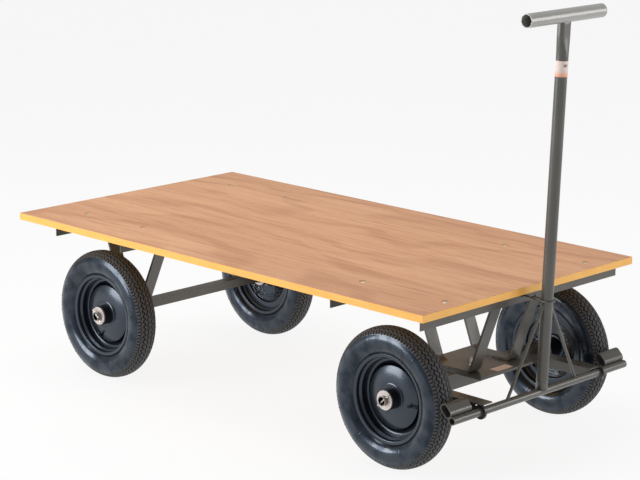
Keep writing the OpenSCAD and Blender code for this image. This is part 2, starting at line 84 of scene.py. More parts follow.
def build(name, grids, material, body, marks=None):
    """One mesh object from several grids, each (points, wrap_rows, wrap_cols), riding on a body.

    A skin whose signed volume, the sum of a . (b x c) / 6 over its triangles, is negative is inside out
    and is turned. `marks` are numbers per point of the first grid, kept as mesh attributes.
    """
    points, faces, count = [], [], 0
    for grid, wrap_rows, wrap_cols in grids:
        flat, quad = grid.reshape(-1, 3), quads(grid.shape[0], grid.shape[1], wrap_rows, wrap_cols)
        near = flat - flat.mean(0)
        a, b, c, d = (near[quad[:, k]] for k in range(4))
        volume = (a * np.cross(b, c)).sum() + (a * np.cross(c, d)).sum()
        faces.append(count + (quad if volume > 0 else quad[:, ::-1]))
        points.append(flat)
        count += len(flat)
    points, faces = np.concatenate(points), np.concatenate(faces)
    mesh = bpy.data.meshes.new(name)
    mesh.vertices.add(len(points))
    mesh.vertices.foreach_set("co", points.astype(np.float32).ravel())
    mesh.loops.add(faces.size)
    mesh.loops.foreach_set("vertex_index", faces.astype(np.int32).ravel())
    mesh.polygons.add(len(faces))
    mesh.polygons.foreach_set("loop_start", np.arange(0, faces.size, 4, dtype=np.int32))
    mesh.update(calc_edges=True)
    for mark, values in (marks or {}).items():
        layer = mesh.attributes.new(mark, "FLOAT", "POINT")
        padded = np.zeros(count, np.float32)
        padded[:values.size] = values.ravel()
        layer.data.foreach_set("value", padded)
    if not all(rows and cols for _, rows, cols in grids):
        welded = bmesh.new()
        welded.from_mesh(mesh)
        bmesh.ops.remove_doubles(welded, verts=welded.verts, dist=1e-7)
        welded.to_mesh(mesh)
        welded.free()
    mesh.polygons.foreach_set("use_smooth", np.full(len(mesh.polygons), True))
    mesh.materials.append(material)
    obj = bpy.data.objects.new(name, mesh)
    bpy.context.scene.collection.objects.link(obj)
    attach(obj, body)
    return obj


# %% [markdown]
# A lathe turns a profile around an axis. The profile lists (distance along the axis, radius) pairs; walked as
# a closed ring it gives a shell with a real wall thickness, as pressed sheet has. A sweep carries a circle
# along a flat path, which is all that wire and bent rod need.

# %% Lathe, sweep and rounded paths
def lathe(profile, centre, along, across=(1, 0, 0), turns=96):
    """Circle of radius r at each profile point (u, r) around the axis `along`.

    point = centre + u * along + r * (cos t * across + sin t * (along x across))
    """
    u, r = np.asarray(profile, float).T
    t = (np.arange(turns) * TURN / turns)[:, None, None]
    along, across = np.asarray(along, float), np.asarray(across, float)
    spoke = np.cos(t) * across + np.sin(t) * np.cross(along, across)
    return np.array(centre) + u[None, :, None] * along + r[None, :, None] * spoke


def outboard(corner):
    """Unit vector along a wheel's axle, away from the cart."""
    return np.array((0.0, WHEELS[corner][1], 0.0))


def on_wheel(corner, angle, along=0.0, radius=0.0):
    """Point of a wheel: angle counts from +X, upwards on the right and downwards on the left."""
    spoke = np.array((math.cos(angle), 0.0, -WHEELS[corner][1] * math.sin(angle)))
    return np.array(wheel_centres[corner]) + along * outboard(corner) + radius * spoke


def sweep(path, radius, plane_normal, sides=14, closed=False):
    """Circle of a given radius carried along a flat path; one side of its frame is the plane's normal."""
    path = np.asarray(path, float)
    ahead = np.roll(path, -1, 0) - np.roll(path, 1, 0)
    if not closed:
        ahead[0], ahead[-1] = path[1] - path[0], path[-1] - path[-2]
    ahead /= np.linalg.norm(ahead, axis=1, keepdims=True)
    normal = np.asarray(plane_normal, float)
    normal = normal / np.linalg.norm(normal)
    out = np.cross(ahead, normal)
    a = np.arange(sides) * TURN / sides
    radius = np.broadcast_to(radius, len(path))[:, None, None]
    ring = np.cos(a)[None, :, None] * out[:, None, :] + np.sin(a)[None, :, None] * normal
    grid = path[:, None, :] + radius * ring
    if closed:
        return grid
    caps = [np.repeat(grid.mean(1, keepdims=True)[i:i + 1], sides, 1) for i in (0, -1)]
    return np.concatenate([caps[0], grid, caps[1]])


def rounded(points, radius, steps=6):
    """Path through the points with each inner corner replaced by an arc of that radius."""
    points = [np.asarray(p, float) for p in points]
    path = [points[0]]
    for before, corner, after in zip(points, points[1:], points[2:]):
        a = (before - corner) / np.linalg.norm(before - corner)
        b = (after - corner) / np.linalg.norm(after - corner)
        half = math.acos(np.clip(a @ b, -1, 1)) / 2
        middle = corner + (a + b) / np.linalg.norm(a + b) * radius / math.sin(half)
        start, end = corner + a * radius / math.tan(half), corner + b * radius / math.tan(half)
        w = np.linspace(0, 1, steps + 1)[:, None]
        arc = (1 - w) * (start - middle) + w * (end - middle)
        path.extend(middle + radius * arc / np.linalg.norm(arc, axis=1, keepdims=True))
    path.append(points[-1])
    return np.array(path)


# %% [markdown]
# ## Finishes
# Shader arithmetic reads best as arithmetic, so a small class wraps an output socket and lets `+`, `-` and
# `*` add Math nodes. Every other node comes from one method, `node`, on the material's own builder.

# %% Sockets as Python values
class Socket:
    """An output socket; its operators add Math nodes and return the new output."""

    def __init__(self, look, out):
        self.look, self.out = look, out

    def math(self, operation, *others):
        return self.look.node("Math", {"operation": operation}, {i: v for i, v in enumerate((self, *others))})

    def __add__(self, other):
        return self.math("ADD", other)

    __radd__ = __add__

    def __mul__(self, other):
        return self.math("MULTIPLY", other)

    __rmul__ = __mul__

    def __sub__(self, other):
        return self.math("SUBTRACT", other)

    def __rsub__(self, other):
        return (self * -1) + other

    def step(self, low, high):
        """0 below low, 1 above high, and a smooth rise between them."""
        return self.look.node("MapRange", {"interpolation_type": "SMOOTHSTEP"},
                              {"Value": self, "From Min": low, "From Max": high})


class Look:
    """A material with one Principled shader, and the methods that feed it."""

    def __init__(self, name, **constants):
        self.material = bpy.data.materials.new(name)
        self.material.use_nodes = True
        self.tree = self.material.node_tree
        self.shader = self.tree.nodes["Principled BSDF"]
        for socket, value in constants.items():
            self.shader.inputs[socket.replace("_", " ")].default_value = value

    def node(self, kind, settings=None, inputs=None, output=0):
        """Any node: its type, its settings, its inputs as values or links, and the output to read."""
        new = self.tree.nodes.new("ShaderNode" + kind)
        for key, value in (settings or {}).items():
            setattr(new, key, value)
        for key, value in (inputs or {}).items():
            if isinstance(value, Socket):
                self.tree.links.new(value.out, new.inputs[key])
            else:
                new.inputs[key].default_value = value
        return Socket(self, new.outputs[output])

    def place(self, scale=(1, 1, 1)):
        """Object coordinates in metres, stretched by scale."""
        where = self.node("TexCoord", output=3)
        return self.node("Mapping", inputs={"Vector": where, "Scale": scale})

    def axis(self, index):
        """One coordinate of the place, in metres: 0, 1 or 2 for X, Y or Z."""
        return self.node("SeparateXYZ", inputs={"Vector": self.place()}, output=index)

    def attribute(self, name):
        """A number that the mesh carries at each of its points."""
        return self.node("Attribute", {"attribute_name": name}, output=2)

    def noise(self, size, detail=3, scale=(1, 1, 1), rough=0.5, warp=0):
        """Clouds about size metres across, 0 to 1."""
        return self.node("TexNoise", inputs={"Vector": self.place(scale), "Scale": 1 / size,
                                             "Detail": detail, "Roughness": rough, "Distortion": warp})

    def mix(self, amount, first, second):
        """Colour between first and second; 6 and 7 are the Mix node's colour inputs."""
        colours = {6: first, 7: second}
        colours = {k: v if isinstance(v, Socket) else (*v, 1) for k, v in colours.items()}
        return self.node("Mix", {"data_type": "RGBA"}, {0: amount, **colours}, output=2)

    def feed(self, **sockets):
        """Links outputs to the Principled shader's inputs."""
        for name, value in sockets.items():
            self.tree.links.new(value.out, self.shader.inputs[name.replace("_", " ")])

    def bump(self, height, distance, strength=1.0, edge=0.0):
        """Small relief in metres; edge rounds the shading of sharp corners by that radius."""
        inputs = {"Height": height, "Distance": distance, "Strength": strength}
        if edge:
            inputs["Normal"] = self.node("Bevel", {"samples": 4}, {"Radius": edge})
        self.feed(Normal=self.node("Bump", {}, inputs))


# %% [markdown]
# ### Graphite paint
# The steelwork is sprayed in one coat of semi-gloss graphite. One flat colour would do for a diagram, but
# sprayed paint is never quite even: it has a fine orange-peel relief and clouds in its gloss and colour.
# Three noises of different sizes give that, and a Bevel node rounds the light on every sharp corner.

# %% Frame paint
def frame_paint(name, colour, rough):
    """Semi-gloss paint: clouds and dust darken it by up to a fifth and change its gloss."""
    look = Look(name, Metallic=0.12, IOR=1.55, Coat_Roughness=0.10)
    clouds = look.noise(0.09, 3)
    dust = look.noise(0.012, 5, rough=0.7)
    dark = tuple(c * 0.82 for c in colour)
    look.feed(Base_Color=look.mix(clouds * 0.6 + dust * 0.4, dark, colour),
              Roughness=clouds * 0.12 + dust * 0.08 + (rough - 0.1),
              Coat_Weight=clouds.step(0.3, 0.8) * 0.25)
    look.bump(look.noise(0.0022, 2), 0.0002, 0.28, edge=0.0009)
    return look.material


paint = frame_paint("graphite_paint", (0.088, 0.083, 0.073), rough=0.33)
grip_paint = frame_paint("grip_paint", (0.350, 0.345, 0.330), rough=0.28)
# painted shade: a near-black copy of the graphite paint for the pivot eyes, standing in for the shade they sit
# in
pivot_eye_shade_paint = frame_paint("pivot_eye_shade_paint", (0.022, 0.021, 0.019), rough=0.36)

# %% [markdown]
# ### Zinc, black enamel and hub paint
# Zinc plating is metal with faint clouds, and the washers carry a warmer, brighter version of it. The axles'
# hollow ends are one piece with a bore whose shade is painted near-black, so their material measures the
# distance to the axle's own axis.
# The rims wear glossy black enamel whose reflections look cold beside the warm deck; that chill lives in the
# specular tint, one constant for the whole surface, because a bluish base colour would look faded instead.

# %% Metals and enamels
def zinc_plate(name, low, high, metal=0.9):
    """Plated steel whose colour drifts between two greys."""
    look = Look(name, Metallic=metal)
    clouds = look.noise(0.006, 4)
    look.feed(Base_Color=look.mix(clouds, low, high),
              Roughness=clouds * 0.25 + 0.24)
    look.bump(look.noise(0.0012, 2), 0.0001, 0.3, edge=0.0004)
    return look.material


def enamel(name, colour, rough, coat):
    """Black enamel, lighter where dust has settled in the clouds."""
    look = Look(name, IOR=1.5, Specular_Tint=(0.62, 0.78, 1.0, 1), Coat_Weight=coat,
                Coat_Roughness=0.16, Coat_Tint=(0.80, 0.90, 1.0, 1))
    clouds = look.noise(0.05, 4)
    dust = look.noise(0.008, 5, rough=0.65)
    look.feed(Base_Color=look.mix(dust * clouds, colour, tuple(c * 1.9 + 0.004 for c in colour)),
              Roughness=clouds * 0.14 + dust * 0.06 + (rough - 0.1))
    look.bump(look.noise(0.003, 2), 0.00015, 0.3)
    return look.material


def axle_steel(name, corner):
    """Bright turned steel whose bore, closer to the axis than its radius, is painted near-black as its shade.
    """
    look = Look(name, Metallic=0.9)
    centre = wheel_centres[corner]
    x, z = look.axis(0) - centre.x, look.axis(2) - centre.z
    # painted shade: inside the bore's radius the colour is near-black, standing in for the shade in the hollow
    # end
    steel = (x * x + z * z).math("SQRT").step(0.0101, 0.0104)
    clouds = look.noise(0.006, 4)
    bright = look.mix(clouds, (0.16, 0.15, 0.14), (0.34, 0.32, 0.30))
    look.feed(Base_Color=look.mix(steel, (0.012, 0.011, 0.010), bright), Roughness=clouds * 0.2 + 0.26)
    return look.material


zinc = zinc_plate("zinc_plate", (0.52, 0.50, 0.47), (0.80, 0.77, 0.72))
washer_steel = zinc_plate("washer_steel", (0.50, 0.43, 0.41), (0.72, 0.64, 0.61), metal=0.55)
front_axle_steel = axle_steel("front_axle_steel", "front_right")
rear_axle_steel = axle_steel("rear_axle_steel", "rear_right")
rim_enamel = enamel("rim_enamel", (0.007, 0.008, 0.011), 0.30, 0.45)
hub_black = enamel("hub_black", (0.006, 0.006, 0.007), 0.42, 0.0)

# %% [markdown]
# ### Rubber
# One material serves the whole tyre, because its mesh carries two attributes. `tread` is 0 on the smooth
# sidewall and 1 on the tread, and `groove` is how deep a point lies in a groove. The sidewall is near black
# with a patchy, cold shine; the blocks are matt, brown-grey and dusty; in the grooves shade is painted black.

# %% Rubber
def rubber():
    """Sidewall and tread in one finish, told apart by the mesh's attributes."""
    look = Look("rubber", IOR=1.48, Specular_Tint=(0.50, 0.66, 0.90, 1), Coat_Roughness=0.14,
                Coat_Tint=(0.75, 0.87, 1.0, 1))
    tread, groove = look.attribute("tread"), look.attribute("groove")
    clouds = look.noise(0.03, 4)
    dust = look.noise(0.004, 5, rough=0.7)
    wall = look.mix(clouds, (0.003, 0.004, 0.006), (0.006, 0.008, 0.011))
    block = look.mix(dust, (0.036, 0.031, 0.026), (0.100, 0.090, 0.078))
    # dusty blocks, and painted shade: deep in the grooves the colour goes black, standing in for the shade
    # inside them
    dust_and_groove_shade = look.mix(groove.step(0.05, 0.5), block, (0.003, 0.003, 0.003))
    look.feed(Base_Color=look.mix(tread, wall, dust_and_groove_shade),
              Roughness=tread * 0.32 + clouds * 0.14 + 0.22,
              Coat_Weight=(1 - tread) * clouds.step(0.30, 0.62) * 0.70)
    look.bump(look.noise(0.0015, 3), 0.00015, 0.3)
    return look.material


tyre_rubber = rubber()
plain_rubber = enamel("plain_rubber", (0.012, 0.012, 0.013), 0.50, 0.0)

# %% [markdown]
# ### The deck
# The top is a printed wood laminate with its grain along the deck. Three layers make it: broad tone, long
# fine pores, and the arched growth rings of a flat-sawn board, drawn as bands across a slowly warped width. An
# image of wood would look closer for a while, but noise has no seam and fits any deck. The edge is bare
# plywood under amber varnish, whose plies show as faint lines.

# %% Wood finishes
def laminate():
    """Colours laid over each other: sine bands across the width for rings, stretched noise for pores."""
    look = Look("wood_laminate", IOR=1.46, Coat_Roughness=0.25)
    split = look.axis(1)
    tone = look.noise(0.30, 2, scale=(0.30, 1.4, 1))
    pores = look.noise(0.008, 6, scale=(0.035, 1, 1), rough=0.75)
    strands = look.noise(0.040, 5, scale=(0.05, 1, 1), rough=0.65)
    flecks = look.noise(0.012, 4, scale=(0.18, 1, 1), rough=0.6)
    arch = look.noise(0.42, 2, scale=(0.55, 1.0, 1), warp=0.4)
    rings = ((split * 9 + arch * 9).math("SINE") * 0.5 + 0.5).step(0.55, 1.0)
    thin_rings = ((split * 38 + arch * 30).math("SINE") * 0.5 + 0.5).step(0.6, 1.0)
    base = look.mix(tone, (0.560, 0.290, 0.150), (0.630, 0.345, 0.190))
    base = look.mix(strands.step(0.35, 0.75) * 0.36, base, (0.420, 0.190, 0.085))
    base = look.mix(rings * 0.16, base, (0.340, 0.140, 0.060))
    base = look.mix(thin_rings * strands * 0.50, base, (0.300, 0.110, 0.045))
    base = look.mix(pores.step(0.48, 0.70) * 0.62, base, (0.290, 0.110, 0.048))
    base = look.mix(flecks.step(0.58, 0.72) * 0.45, base, (0.400, 0.115, 0.048))
    look.feed(Base_Color=base, Roughness=pores * 0.12 + 0.40, Coat_Weight=tone * 0.10)
    look.bump(pores, 0.0002, 0.25)
    return look.material


def plywood():
    """Amber varnish over plies 5.2 mm thick, which show as a sine of the height."""
    look = Look("varnished_plywood", IOR=1.5, Coat_Roughness=0.15)
    height = look.axis(2)
    wobble = look.noise(0.05, 3, scale=(0.2, 0.2, 1))
    plies = ((height * (TURN / 0.0052) + wobble * 2.2).math("SINE") * 0.5 + 0.5).step(0.62, 1.0)
    grain = look.noise(0.006, 5, scale=(0.08, 0.08, 1), rough=0.7)
    blotch = look.noise(0.07, 3)
    base = look.mix(blotch, (0.82, 0.40, 0.070), (0.95, 0.52, 0.110))
    base = look.mix(grain.step(0.45, 0.8) * 0.35, base, (0.60, 0.25, 0.035))
    base = look.mix(plies * 0.30, base, (0.55, 0.24, 0.040))
    look.feed(Base_Color=base, Roughness=grain * 0.2 + 0.25, Coat_Weight=blotch * 0.3)
    look.bump(grain, 0.0003, 0.3)
    return look.material


wood_top, wood_edge = laminate(), plywood()

# %% [markdown]
# ### Paper labels
# Two stickers stay blank: one on the turntable, and a band on the handle whose foot is orange under a small
# dark oval. They say nothing, on purpose.

# %% Labels
def label(name, box=None):
    """Pinkish paper; with a box it also gets an orange foot that fades upwards and a small dark oval."""
    look = Look(name, IOR=1.45)
    paper = look.noise(0.004, 4)
    base = look.mix(paper, (0.66, 0.52, 0.48), (0.80, 0.68, 0.64))
    if box:
        low, high = box
        across, height = look.axis(1), look.axis(2)
        foot = 1 - height.step(low.z, low.z + 0.45 * (high.z - low.z))
        base = look.mix(foot * 0.8, base, (0.80, 0.30, 0.12))
        oval_y, oval_z = (low.y + high.y) / 2 - 0.004, high.z - 0.012
        a, b = (across - oval_y) * 170, (height - oval_z) * 260
        spot = 1 - (a * a + b * b).step(0.7, 1.1)
        base = look.mix(spot * 0.75, base, (0.16, 0.08, 0.06))
    look.feed(Base_Color=base, Roughness=paper * 0.2 + 0.42)
    return look.material


# %% Carried-over pieces get their finishes
FINISHES = {
    paint: ["beam_front", "beam_second", "beam_third", "beam_rear", "front_strut_right",
            "front_strut_left", "rear_strut_right", "rear_strut_left", "turntable_plate_upper",
            "turntable_plate_lower", "keeper_staple", "rear_axle_beam", "front_axle_beam",
            "tow_arm_right", "tow_arm_left", "cross_tube", "handle_tube", "brace_rods",
            "brake_shoe_right", "brake_shoe_left", "keeper_loop"],
    grip_paint: ["grip_tube"],
    # the pivot eyes wear the near-black copy of the graphite paint, painted shade
    pivot_eye_shade_paint: ["pivot_eyes"],
    zinc: ["deck_bolts", "deck_washers", "deck_nuts", "king_bolt", "king_washer", "king_clip",
           "rear_cotter_pins", "front_cotter_pins"] + ["bearings_" + c for c in WHEELS],
    washer_steel: ["rear_washers", "front_washers"],
    front_axle_steel: ["front_stub_axles"],
    rear_axle_steel: ["rear_stub_axles"],
    wood_edge: ["deck_board"],
    wood_top: ["deck_laminate"],
    hub_black: ["hub_" + c for c in WHEELS],
    rim_enamel: ["rim_" + c for c in WHEELS],
    plain_rubber: ["valve_" + c for c in WHEELS],
    tyre_rubber: ["tyre_" + c for c in WHEELS],
}
FINISHES[label("plate_label_paper")] = ["plate_label"]
FINISHES[label("handle_label_paper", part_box("handle_label"))] = ["handle_label"]
for material, nodes in FINISHES.items():
    for node in nodes:
        slots = frame["nodes"][node].data.materials
        slots.clear()
        slots.append(material)
print(sum(len(n) for n in FINISHES.values()), "carried-over pieces have a finish")

# %% [markdown]
# ## Tyres
# A tyre is a section walked around a circle. The section is a flattened ring: its half width and its rise are
# raised to powers just below one, which squares a circle off a little. On the crown the skin sinks where a
# groove runs: zigzags are a clipped sine added to the groove's place across the tread, and the shoulders have
# slanted notches. A bump map would be cheaper, but grooves that are in the mesh break the outline and catch
# shadow as real tread does. Moulding leaves its marks too: fine ridges on the wall and a ring of thin nibs.

# %% Tyre section and tread
low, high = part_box("tyre_front_right")
TYRE_R, TYRE_HALF = (high.z - low.z) / 2, (high.y - low.y) / 2
rim_low, rim_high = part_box("rim_front_right")
RIM_R, RIM_HALF = (rim_high.z - rim_low.z) / 2, (rim_high.y - rim_low.y) / 2
MID_R = (TYRE_R + RIM_R - 0.007) / 2
RISE = TYRE_R - MID_R
BEAD_GRIP = 0.0038
PITCHES = 76
NOTCHES = 112
TREAD_EDGE = 0.0355
TREAD_DEPTH, TREAD_STEP = 0.0030, 0.0007
RIDGE, BEAD_LINE = 0.00035, 0.0010
BEAD_LINE_PLACE = 0.0790
# Each pair of zigzag grooves: place across the tread, swing, phase, half width, share of the full depth
ZIGZAGS = ((0.0060, 0.0019, 0.0, 0.0014, 1.0), (0.0172, 0.0021, 1.6, 0.0015, 1.0),
           (0.0262, 0.0013, 0.4, 0.0009, 0.7))


def smooth(x, low, high):
    """0 below low, 1 above high, smooth between."""
    x = np.clip((x - low) / (high - low), 0, 1)
    return x * x * (3 - 2 * x)


def section(angle):
    """Flattened ring: half width * |cos|^0.90 along the axle, mid + rise * |sin|^0.92 outwards, signs kept.

    Under the rim's edge the bead is held to a narrower width, where the rim grips it.
    """
    c, s = np.cos(angle), np.sin(angle)
    u = TYRE_HALF * np.sign(c) * np.abs(c) ** 0.90
    r = MID_R + RISE * np.sign(s) * np.abs(s) ** 0.92
    held = RIM_HALF - BEAD_GRIP + 0.02 * smooth(r, RIM_R + 0.0002, RIM_R + 0.0040)
    return np.clip(u, -held, held), r


def tread_depth(t, w):
    """Share of the full groove depth at turn angle t and distance w (metres) from the centre line.

    Four wide zigzags and two narrow ones, line = place + swing * clip(2.4 sin(phase)), and shoulder notches.
    """
    phase = t * PITCHES
    depth = np.zeros(np.broadcast(t, w).shape)
    for place, swing, lag, wide, full in ZIGZAGS:
        line = place + swing * np.clip(2.4 * np.sin(phase + lag), -1, 1)
        for side in (1, -1):
            depth = np.maximum(depth, full * (1 - smooth(np.abs(w * side - line), wide * 0.5, wide * 1.5)))
    slant = NOTCHES / 2 * t + 0.9 + 30 * np.abs(w)
    notch = 1 - smooth(np.abs(np.sin(slant)), 0.22, 0.50)
    band = smooth(np.abs(w), 0.0272, 0.0284) * (1 - smooth(np.abs(w), TREAD_EDGE - 0.001, TREAD_EDGE + 0.001))
    return np.maximum(depth, 0.9 * notch * band)


# %% One tyre per wheel
def nibs(corner, count=24, shoulder=33):
    """Moulding nibs: thin cones that stand out of the skin near the shoulder, a ring of them on each side."""
    grids = []
    profile = [(-0.0006, 0.0), (-0.0006, 0.0009), (0.0004, 0.0008), (0.0016, 0.0005), (0.0018, 0.0)]
    u, r = (float(value) for value in section(np.array(math.radians(shoulder))))
    for face in (1, -1):
        for k in range(count):
            angle = TURN * (k + 0.3 * face) / count
            foot = on_wheel(corner, angle, face * u, r)
            lean = on_wheel(corner, angle, face * u + face * 0.7, r + 0.7) - foot
            lean /= np.linalg.norm(lean)
            across = np.cross(lean, (0.31, 0.17, 0.93))
            grids.append((lathe(profile, foot, lean, across / np.linalg.norm(across), 6), True, False))
    return grids


def tyre(corner, turns=1000, tread_points=76, wall_points=11):
    """The section walked around the axle, pushed along its own normal by the relief.

    Section angles are close together on the tread and wide apart on the walls; they start and end under the
    rim, where the ring closes. The normal of (u, r) is (dr, -du) divided by its length.
    """
    body, side = WHEELS[corner]
    foot, start, end, last = np.radians((-62, 30, 150, 242))
    angle = np.concatenate([np.linspace(foot, start, wall_points, endpoint=False),
                            np.linspace(start, end, tread_points),
                            np.linspace(end, last, wall_points + 1)[1:]])
    u, r = section(angle)
    length = np.concatenate([[0], np.cumsum(np.hypot(np.diff(u), np.diff(r)))])
    w = (length - np.interp(math.pi / 2, angle, length))[None, :]
    t = np.arange(turns)[:, None] * TURN / turns
    on_tread = np.broadcast_to(1 - smooth(np.abs(w), TREAD_EDGE, TREAD_EDGE + 0.0015), (turns, w.size))
    depth = tread_depth(t, w)
    du, dr = np.gradient(u), np.gradient(r)
    wall = smooth(np.abs(w), 0.042, 0.050) * (1 - smooth(np.abs(w), 0.074, 0.080))
    ridge = RIDGE * wall * np.exp(-(np.sin(3 * t + 0.4) / 0.022) ** 2)
    step = TREAD_STEP * smooth(np.abs(w), TREAD_EDGE + 0.0010, TREAD_EDGE + 0.0022)
    bead_line = BEAD_LINE * (1 - smooth(np.abs(np.abs(w) - BEAD_LINE_PLACE), 0.0006, 0.0016))
    lift = (ridge - step - TREAD_DEPTH * depth - bead_line) / np.hypot(du, dr)
    u, r, t = u + lift * dr, r - lift * du, -side * t
    grid = np.stack([r * np.cos(t), side * u, r * np.sin(t)], -1) + np.array(wheel_centres[corner])
    obj = build("visual_tyre_" + corner, [(grid, True, True)] + nibs(corner), tyre_rubber, body,
                {"tread": on_tread, "groove": depth})
    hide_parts("tyre_" + corner)
    return obj


for corner in WHEELS:
    made = tyre(corner)
print("each tyre has", len(made.data.polygons), "faces")

# %% [markdown]
# ## Rims and hubs
# A small truck rim is a rolled barrel and a domed disc, both pressed from sheet. From outside it reads as a
# stack of rings: the rolled lip, the bead seat, the step into the well, the flat far inside, the rounded dome
# and the ring around the hub. Each ring is a stretch of one profile, so one lathe gives them all. The sheet's
# ends are rounded, because a rolled edge catches a thin line of light. The dome falls away as a power of the
# distance from the hub, which is flatter near the hub and steeper at its edge.

# %% Rim, hub and valve
def pressed(path, thickness, ends=6):
    """Closed outline of a strip around a path: both offsets by half the sheet, joined by half circles."""
    path = np.asarray(path, float)
    d = np.gradient(path, axis=0)
    d /= np.linalg.norm(d, axis=1, keepdims=True)
    n = np.stack([-d[:, 1], d[:, 0]], 1)
    a = np.linspace(0, math.pi, ends + 2)[1:-1, None]
    half = thickness / 2
    last = path[-1] + half * (np.cos(a) * n[-1] + np.sin(a) * d[-1])
    first = path[0] - half * (np.cos(a) * n[0] + np.sin(a) * d[0])
    return np.concatenate([path + n * half, last, (path - n * half)[::-1], first])


SHEET = 0.0020
SEAT, WELL, LIP = RIM_R - 0.008, RIM_R - 0.014, RIM_HALF - SHEET / 2
RING, DOME = 0.0370, RIM_R - 0.034
hub_low, hub_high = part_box("hub_front_right")
HUB_R, HUB_HALF = (hub_high.z - hub_low.z) / 2, (hub_high.y - hub_low.y) / 2
BORE_R = 0.0181
# Where each wheel's valve has stopped, in degrees from the front
VALVE_TURNS = {"front_right": -6, "rear_right": 250, "front_left": 125, "rear_left": 125}
side_of_barrel = [(LIP, RIM_R - 0.0005), (LIP - 0.0010, SEAT), (0.013, SEAT), (0.009, WELL)]
barrel_path = rounded(side_of_barrel + [(-u, r) for u, r in side_of_barrel[::-1]], 0.0019, 4)
dome = [(0.0080 - 0.0085 * k ** 1.9, RING + (DOME - RING) * k) for k in np.linspace(0, 1, 14)]
disc_path = rounded([(0.009, HUB_R + 0.0003), (0.009, 0.0345)] + dome
                    + [(-0.0060, DOME + 0.0035), (-0.0060, WELL - 0.0012)], 0.0010, 3)


def wheel_metal(corner):
    """The rim's barrel and disc, the hub, and the valve that leans out of the disc towards the hub.

    All are lathe work; the valve's axis runs from its foot in the disc to its tip, 45 degrees off the axle.
    """
    body, side = WHEELS[corner]
    centre, out = wheel_centres[corner], outboard(corner)
    grids = [(lathe(pressed(path, SHEET), centre, out, turns=160), True, True)
             for path in (barrel_path, disc_path)]
    rim = build("visual_rim_" + corner, grids, rim_enamel, body)
    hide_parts("rim_" + corner)
    ring = rounded([(0, BORE_R), (-HUB_HALF, BORE_R), (-HUB_HALF, HUB_R), (HUB_HALF, HUB_R),
                    (HUB_HALF, BORE_R), (0.0001, BORE_R)], 0.0010, 4)
    hub = build("visual_hub_" + corner, [(lathe(ring, centre, out, turns=96), True, True)], hub_black, body)
    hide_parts("hub_" + corner)
    angle = math.radians(VALVE_TURNS[corner])
    foot = on_wheel(corner, angle, 0.0, RIM_R - 0.036)
    tip = on_wheel(corner, angle, 0.025, RIM_R - 0.061)
    stem = (tip - foot) / np.linalg.norm(tip - foot)
    across = np.cross(stem, out)
    profile = [(-0.0080, 0), (-0.0080, 0.0038), (-0.0070, 0.0045), (0.0050, 0.0045), (0.0080, 0.0036),
               (0.0090, 0.0031), (0.0160, 0.0029), (0.0165, 0.0033), (0.0240, 0.0032), (0.0250, 0.0026),
               (0.0250, 0)]
    valve = build("visual_valve_" + corner,
                  [(lathe(profile, foot, stem, across / np.linalg.norm(across), 24), True, False)],
                  plain_rubber, body)
    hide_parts("valve_" + corner)


for corner in WHEELS:
    wheel_metal(corner)
print("rim radius", round(RIM_R, 4), "hub radius", round(HUB_R, 4))

# %% [markdown]
# ## Split pins
# A split pin is one wire bent double: two legs side by side through the axle, an eye at one end, and legs
# that part a little at the other. A rod with a ring on its end would be simpler, but a sweep of a round wire
# along the bent path gives the eye its hole and the legs their seam.

# %% Split pins
def split_pin(corner, turn):
    """Path in the plane across the axle: leg, most of an eye, leg back; d runs along the pin, e across it."""
    wire, apart, leg, neck, eye = 0.0009, 0.00095, 0.0235, 0.0170, 0.0030
    axle_low, axle_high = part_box(corner.split("_")[0] + "_stub_axles")
    plane = axle_high.y - abs(wheel_centres[corner].y) - 0.0044
    a = np.linspace(math.radians(-160), math.radians(160), 25)
    eye_path = np.stack([neck + eye * (1 + np.cos(a)), eye * np.sin(a)], 1)
    one = np.array([(-leg, -0.0022), (-leg + 0.004, -apart), (neck - 0.001, -apart)])
    flat = np.concatenate([one, eye_path, (one * (1, -1))[::-1]])
    turn = math.radians(turn)
    d = on_wheel(corner, turn, radius=1.0) - on_wheel(corner, 0)
    e = on_wheel(corner, turn + math.pi / 2, radius=1.0) - on_wheel(corner, 0)
    path = on_wheel(corner, 0, plane) + flat[:, :1] * d + flat[:, 1:] * e
    return sweep(path, wire, outboard(corner), 10), False, True


for end, body, turn in (("front", "front_axle", 45), ("rear", "platform", 135)):
    pins = [split_pin(end + side, turn) for side in ("_right", "_left")]
    pin = build("visual_cotter_" + end, pins, zinc, body)
    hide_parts(end + "_cotter_pins")

# %% [markdown]
# ## The handle tube and its keeper ring
# The pull handle is a round tube whose top has been squeezed flat where the grip is welded on. The section
# stays one closed ring all the way: its two half widths and its squareness blend from round to flat. The ring
# that hangs on the tube is a bent wire with a small upright tab for the thumb: one closed sweep.

# %% Handle tube
grip_low, grip_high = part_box("grip_tube")
grip_centre = (np.array(grip_low) + np.array(grip_high)) / 2
tube_low, tube_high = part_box("handle_tube")
POLE_R = (tube_high.y - tube_low.y) / 2
foot = np.array(cross_axis) * (1, 0, 1)
pole_axis = (grip_centre - foot) * (1, 0, 1)
pole_length = np.linalg.norm(pole_axis)
pole_axis /= pole_length
pole_side = np.cross((0, 1, 0), pole_axis)
POLE_SIDES = 64
s = np.concatenate([[0.006], np.linspace(0.03, pole_length - 0.13, 12),
                    np.linspace(pole_length - 0.12, pole_length - 0.02, 36), [pole_length - 0.002]])[:, None]
flat = smooth(s, pole_length - 0.102, pole_length - 0.042)
a = (np.arange(POLE_SIDES) * TURN / POLE_SIDES)[None, :]
wide, thin = POLE_R + flat * 0.0035, POLE_R - flat * 0.0045
power = 1 - 0.38 * flat
c, d = np.cos(a), np.sin(a)
along_y = wide * np.sign(c) * np.abs(c) ** power
along_x = thin * np.sign(d) * np.abs(d) ** power
